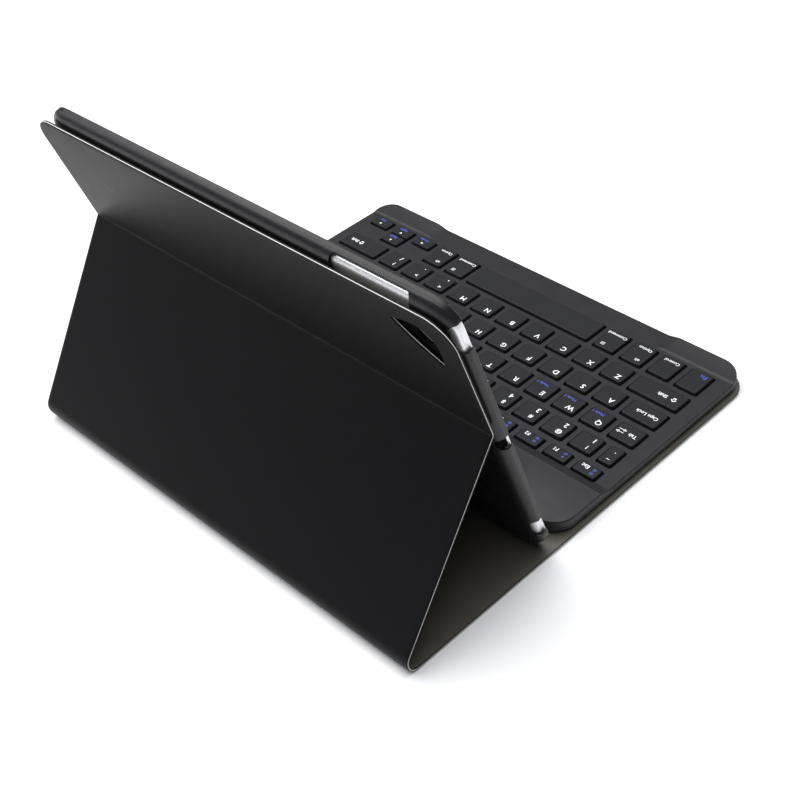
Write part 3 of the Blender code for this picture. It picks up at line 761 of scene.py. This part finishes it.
# ---- keys --------------------------------------------------------------------------------
def cap_body(bm, x0, x1, y0, y1):
    depth = min(x1 - x0, y1 - y0)
    r = min(1.5, depth * 0.16)
    levels = ((6.35, 0.1), (6.45, 0.0), (8.55, 0.05), (8.78, 0.12), (8.92, 0.26),
              (8.985, 0.45), (CAP_TOP, 0.62), (CAP_TOP, 0.8))
    rings = [ring(bm, rounded(x0 + i, x1 - i, y0 + i, y1 - i, max(r - i * 0.4, 0.3), 6), z) for z, i in levels]
    for low, high in zip(rings, rings[1:]):
        band(bm, low, high)
    fill(bm, [rings[0]])
    fill(bm, [rings[-1]])


WHITE, BLUE = 1, 2          # slots of a cap's legend colours
INK = 0.018                 # half the thickness of a printed legend
glyph_cache = {}


def glyph(text, size, align, bold):
    """Vertices and faces of extruded text, as plain lists."""
    key = (text, size, align, bold)
    if key not in glyph_cache:
        curve = bpy.data.curves.new("glyph", "FONT")
        curve.body, curve.size = text, size
        curve.align_x, curve.align_y = align, "CENTER"
        curve.offset, curve.extrude, curve.resolution_u = bold, INK, 3
        obj = bpy.data.objects.new("glyph", curve)
        bpy.context.scene.collection.objects.link(obj)
        graph = bpy.context.evaluated_depsgraph_get()
        mesh = bpy.data.meshes.new_from_object(obj.evaluated_get(graph))
        bpy.data.objects.remove(obj, do_unlink=True)
        bpy.data.curves.remove(curve)
        flat = bmesh.new()
        flat.from_mesh(mesh)
        bpy.data.meshes.remove(mesh)
        bmesh.ops.remove_doubles(flat, verts=flat.verts, dist=1e-5)
        flat.verts.index_update()
        glyph_cache[key] = ([tuple(v.co) for v in flat.verts],
                            [[v.index for v in f.verts] for f in flat.faces])
        flat.free()
    return glyph_cache[key]


def write(bm, text, x, y, size, mat, align="CENTER", bold=0.0):
    """Prints text on the caps' top face."""
    places, faces = glyph(text, size, align, bold)
    verts = [bm.verts.new((a + x, b + y, c + CAP_TOP)) for a, b, c in places]
    for face in faces:
        bm.faces.new([verts[i] for i in face]).material_index = mat


def mark(bm, points, x, y, mat, inner=None):
    """A small printed shape, with an optional hole."""
    outline = [(x + a, y + b) for a, b in points]
    loops = [outline] + ([[(x + a, y + b) for a, b in inner]] if inner else [])
    lows = [ring(bm, p, CAP_TOP - INK) for p in loops]
    highs = [ring(bm, p, CAP_TOP + INK) for p in loops]
    for low, high in zip(lows, highs):
        band(bm, low, high, mat)
    fill(bm, lows, mat)
    fill(bm, highs, mat)


def triangle(size, turn):
    """Arrowhead that points along turn, in degrees from +X."""
    a = math.radians(turn)
    base = [(size * 0.62, 0.0), (-size * 0.4, size * 0.52), (-size * 0.4, -size * 0.52)]
    return [(px * math.cos(a) - py * math.sin(a), px * math.sin(a) + py * math.cos(a)) for px, py in base]


def shift_arrow(scale):
    half = [(0.0, 1.3), (-1.35, 0.0), (-0.62, 0.0), (-0.62, -1.2), (0.62, -1.2), (0.62, 0.0), (1.35, 0.0)]
    return [(x * scale, y * scale) for x, y in half]


def icon(bm, kind, x, y):
    """Small generic pictures in blue."""
    if kind == "ring":
        mark(bm, circle(0, 0, 0.85, 16), x, y, BLUE, circle(0, 0, 0.45, 16))
    elif kind == "frame":
        mark(bm, rounded(-0.85, 0.85, -0.75, 0.75, 0.2, 2), x, y, BLUE,
             rounded(-0.45, 0.45, -0.35, 0.35, 0.1, 2))
    elif kind == "bars":
        for i in (-0.55, 0.0, 0.55):
            mark(bm, rounded(-0.95, 0.95, i - 0.16, i + 0.16, 0), x, y, BLUE)
    elif kind == "next":
        mark(bm, triangle(1.5, 0), x - 0.45, y, BLUE)
        mark(bm, triangle(1.5, 0), x + 0.65, y, BLUE)
    elif kind == "back":
        mark(bm, triangle(1.5, 180), x + 0.45, y, BLUE)
        mark(bm, triangle(1.5, 180), x - 0.65, y, BLUE)
    elif kind == "dot":
        mark(bm, circle(0, 0, 0.6, 12), x, y, BLUE)
    elif kind == "sun":
        mark(bm, circle(0, 0, 0.5, 12), x, y, BLUE)
        for i in range(8):
            a = math.pi * i / 4
            mark(bm, circle(0, 0, 0.16, 6), x + 0.95 * math.cos(a), y + 0.95 * math.sin(a), BLUE)
    elif kind == "speaker":
        mark(bm, [(-0.9, -0.3), (-0.4, -0.3), (0.2, -0.8), (0.2, 0.8), (-0.4, 0.3), (-0.9, 0.3)], x, y, BLUE)
        mark(bm, rounded(0.55, 0.8, -0.5, 0.5, 0), x, y, BLUE)


PAIRS = {
    "keys_number_row": ["1!", "2@", "3#", "4$", "5%", "6^", "7&", "8*", "9(", "0)", "-_", "=+"],
    "keys_qwerty_row": list("QWERTYUIOP") + ["[{", "]}"],
    "keys_asdf_row": list("ASDFGHJKL") + [";:", "'\""],
    "keys_zxcv_row": list("ZXCVBNM") + [",<", ".>", "/?"],
}
BLUE_WORDS = {"Q": "Mode 1", "W": "Mode 2", "E": "Mode 3"}
F_ICONS = [("ring", "dot"), ("bars", "bars"), ("frame", "frame"), ("sun", "dot"), ("sun", "ring"),
           ("bars", "dot"), ("back", "bars"), ("next", "dot"), ("next", "bars"), ("speaker", "dot"),
           ("speaker", "bars"), ("speaker", "ring")]


def legend(bm, text, cx, cy):
    """One character near the cap's corner, or a lower and an upper one."""
    if len(text) == 1:
        write(bm, text, cx - 2.7, cy + 2.7, 4.3, WHITE, bold=0.09)
        if text in BLUE_WORDS:
            write(bm, BLUE_WORDS[text], cx + 2.0, cy - 3.2, 2.35, BLUE, bold=0.05)
        return
    low, high = text
    write(bm, low, cx - 2.8, cy - 2.9, 4.1, WHITE, bold=0.08)
    write(bm, high, cx - 2.6, cy + 3.0, 3.4, WHITE, bold=0.08)


WORDS = {"caps_lock": "Caps Lock", "tab": "Tab", "control": "Control", "option_left": "Option",
         "option_right": "Option", "command_left": "Command", "command_right": "Command",
         "delete": "Delete", "return": "Enter", "lock": "Lock"}
ARROWS = {"left": (180, "Home"), "up": (90, "PgUp"), "down": (270, "PgDn"), "right": (0, "End")}


def single_legend(bm, name, x0, x1, y0, y1):
    """Legends of a key that has a node of its own."""
    cx, cy = (x0 + x1) / 2, (y0 + y1) / 2
    word = WORDS.get(name)
    small = 2.75
    if name in ("caps_lock", "tab"):
        write(bm, word, x0 + 2.1, cy, 3.0, WHITE, "LEFT", 0.05)
        if name == "tab":
            for dy, turn in ((0.75, 0), (-0.75, 180)):
                x = x0 + 10.9
                mark(bm, rounded(-1.9, 1.9, -0.17, 0.17, 0), x, cy + dy * 1.35, WHITE)
                mark(bm, triangle(1.75, turn), x + (1.5 if turn == 0 else -1.5), cy + dy * 1.35, WHITE)
    elif name in ("control", "option_left", "option_right", "command_left", "command_right"):
        left = x0 + (1.7 if "command" not in name else 0.6)
        write(bm, word, left, y0 + 3.1, small, WHITE, "LEFT", 0.03)
        if "option" in name:
            write(bm, "alt", cx - 2.3, y1 - 3.1, small, WHITE, bold=0.03)
        elif "command" in name:
            for dx, dy in ((-0.6, -0.6), (0.6, -0.6), (-0.6, 0.6), (0.6, 0.6)):
                mark(bm, circle(0, 0, 0.5, 12), cx + 2.4 + dx, y1 - 3.1 + dy, WHITE, circle(0, 0, 0.26, 12))
    elif name == "fn":
        write(bm, "Fn", x0 + 2.2, y0 + 3.1, 4.0, BLUE, "LEFT", 0.07)
    elif name in ("shift_left", "shift_right"):
        text_x = x0 + 9.0 if name == "shift_left" else x1 - 9.3
        arrow_x = x0 + 5.2 if name == "shift_left" else x1 - 11.6
        mark(bm, shift_arrow(1.25), arrow_x, cy, WHITE, shift_arrow(0.66))
        write(bm, "Shift", text_x, cy, 3.1, WHITE, "LEFT", 0.05)
    elif name in ("delete", "return", "lock"):
        write(bm, word, x1 - 2.1, cy if name != "lock" else cy - 0.4, 2.5, WHITE, "RIGHT", 0.03)
    elif name == "esc":
        write(bm, "Esc", cx + 1.9, cy - 1.4, 3.3, WHITE, bold=0.07)
        icon(bm, "ring", cx - 3.3, cy - 1.5)
        icon(bm, "frame", cx - 3.3, cy + 1.2)
    elif name == "backtick":
        write(bm, "`", x0 + 3.2, cy - 3.4, 3.6, WHITE, bold=0.06)
        write(bm, "~", x0 + 3.4, cy + 3.2, 3.2, WHITE, bold=0.06)
    elif name == "backslash":
        legend(bm, "\\|", cx, cy)
    elif name in ARROWS:
        turn, word = ARROWS[name]
        write(bm, word, cx + 1.3, cy - 1.8, 2.5, BLUE, bold=0.06)
        mark(bm, triangle(1.5, turn), cx + 0.5, cy + 1.5, WHITE)


def keys():
    """One piece for each key node, with every cap and legend of that node."""
    grouped = {}
    for node, index, x0, x1, y0, y1 in wells():
        grouped.setdefault(node, []).append((index, x0, x1, y0, y1))
    for node in sorted(grouped):
        bm = bmesh.new()
        for index, x0, x1, y0, y1 in grouped[node]:
            cap_body(bm, x0, x1, y0, y1)
            cx, cy = (x0 + x1) / 2, (y0 + y1) / 2
            if node in PAIRS:
                legend(bm, PAIRS[node][index], cx, cy)
            elif node == "keys_function_row":
                write(bm, "F%d" % (index + 1), cx + 2.5, cy - 1.6, 3.0, WHITE, bold=0.06)
                icon(bm, F_ICONS[index][0], cx - 3.4, cy - 1.7)
                icon(bm, F_ICONS[index][1], cx - 3.4, cy + 0.9)
            else:
                single_legend(bm, node[4:], x0, x1, y0, y1)
        finish_piece("cap_" + node, bm, ["cap", "white", "blue"], node, [node], angle=38)


# ---- the pieces that stay as they are ----------------------------------------------------
KEPT = {
    "tablet_cells": "cell", "tablet_lens": "lens", "kb_support_plate": "steel",
    "kb_dome_sheet": "silicone", "kb_battery": "cell", "kb_circuit_board": "circuit",
    "kb_magnet_left": "magnet", "kb_magnet_right": "magnet", "kb_light_power": "light",
    "kb_light_caps": "light", "kb_light_pairing": "light", "kb_charge_socket": "steel",
    "kb_power_switch": "case",
}


def dress_kept():
    """Gives the CAD nodes that stay visible their materials."""
    for node, mat in KEPT.items():
        mesh = frame["nodes"][node].data
        if mesh.materials:
            mesh.materials[0] = MAT[mat]
        else:
            mesh.materials.append(MAT[mat])


cover()
tray()
tablet()
keyboard()
keys()
dress_kept()


# ---- floor, light and camera -------------------------------------------------------------
def stage():
    bm = bmesh.new()
    bmesh.ops.create_grid(bm, x_segments=8, y_segments=8, size=6.0)
    mesh = bpy.data.meshes.new("floor")
    bm.to_mesh(mesh)
    bm.free()
    floor = bpy.data.objects.new("floor", mesh)
    floor.location.z = -0.0001
    bpy.context.scene.collection.objects.link(floor)
    mesh.materials.append(surface("floor_white", (0.86, 0.86, 0.865), 0.7, tone=(1.5, 0.004), rough_span=0.02,
                                  Specular_IOR_Level=0.2))

    world = bpy.data.worlds.new("studio")
    world.use_nodes = True
    background = world.node_tree.nodes["Background"]
    background.inputs["Color"].default_value = (0.86, 0.90, 1.0, 1)
    background.inputs["Strength"].default_value = WORLD
    bpy.context.scene.world = world
    for name, place, target, size, power in SOFTBOXES:
        lamp = bpy.data.lights.new(name, "AREA")
        lamp.shape = "RECTANGLE"
        lamp.size, lamp.size_y = size
        lamp.energy = power
        obj = bpy.data.objects.new(name, lamp)
        obj.location = place
        obj.rotation_mode = "QUATERNION"
        obj.rotation_quaternion = (Vector(target) - Vector(place)).to_track_quat("-Z", "Y")
        bpy.context.scene.collection.objects.link(obj)


stage()

bpy.context.scene.view_settings.view_transform = "Standard"
view = bpy.data.cameras.new("view")
view.lens = 64.73
view.sensor_width = 36.0
camera = bpy.data.objects.new("view", view)
right = (-0.71246524, -0.69848015, -0.06722177)
up = (0.41364147, -0.49543506, 0.76383561)
back = (-0.56682803, 0.51640061, 0.64190061)
camera_at = Matrix.Translation((-0.41230, 0.37399, 0.46622))
camera.matrix_world = camera_at @ Matrix((right, up, back)).transposed().to_4x4()
bpy.context.scene.collection.objects.link(camera)
bpy.context.scene.camera = camera
